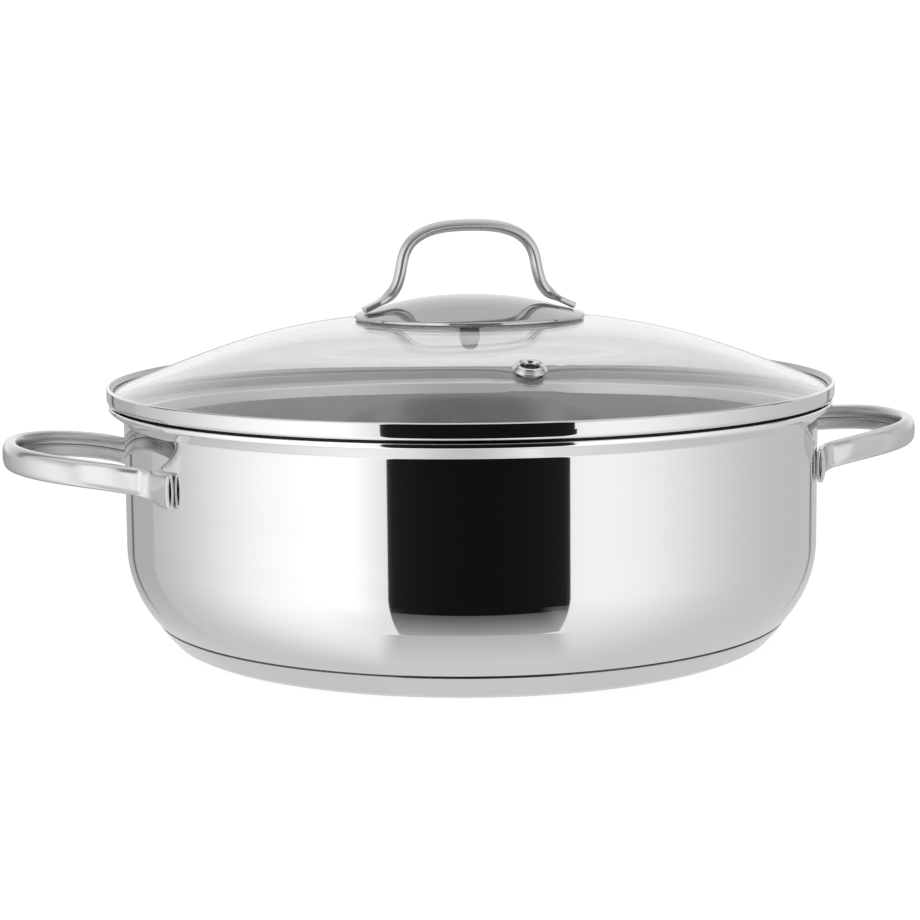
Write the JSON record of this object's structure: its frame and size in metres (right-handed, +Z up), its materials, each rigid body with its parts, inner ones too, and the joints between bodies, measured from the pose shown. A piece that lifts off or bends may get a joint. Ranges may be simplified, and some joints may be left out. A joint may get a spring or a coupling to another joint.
{
  "type": "casserole pot with lid",
  "caption": "Low round stainless casserole pot with loop side handles, a sandwich base and a lift-off domed glass lid with steel rim, steam vent and arched bar handle.",
  "frame": {"origin": "on the pot's axis, on the underside of the base", "axes": "+X through the right side handle, +Z up along the pot's axis, the lid's steam vent towards -Y"},
  "size_m": [0.3792, 0.2952, 0.1702],
  "materials": {
    "polished_steel": "mirror-polished stainless steel with faint circular polishing lines",
    "satin_steel": "satin stainless steel",
    "aluminium_core": "rolled aluminium, enclosed",
    "lid_glass": "clear tempered glass, faintly green at the edge",
    "silicone": "translucent pale silicone"
  },
  "bodies": {
    "pot": {"pot_body": "polished_steel", "base_core_disc": "aluminium_core", "base_capsule": "polished_steel", "side_handle_left": "polished_steel", "side_handle_right": "polished_steel"},
    "lid": {"lid_glass": "lid_glass", "lid_rim_band": "polished_steel", "vent_eyelet": "polished_steel", "vent_sleeve": "silicone", "vent_ring": "satin_steel", "lid_handle_plate": "polished_steel", "lid_handle_bar": "polished_steel", "handle_boss": "satin_steel", "seal_upper": "silicone", "seal_lower": "silicone", "fixing_washer": "satin_steel", "fixing_nut": "polished_steel"}
  },
  "joints": [
    {"name": "lid_lift", "type": "slide", "parent": "pot", "child": "lid", "axis": [0, 0, 1], "range_m": [0, 0.2]}
  ]
}
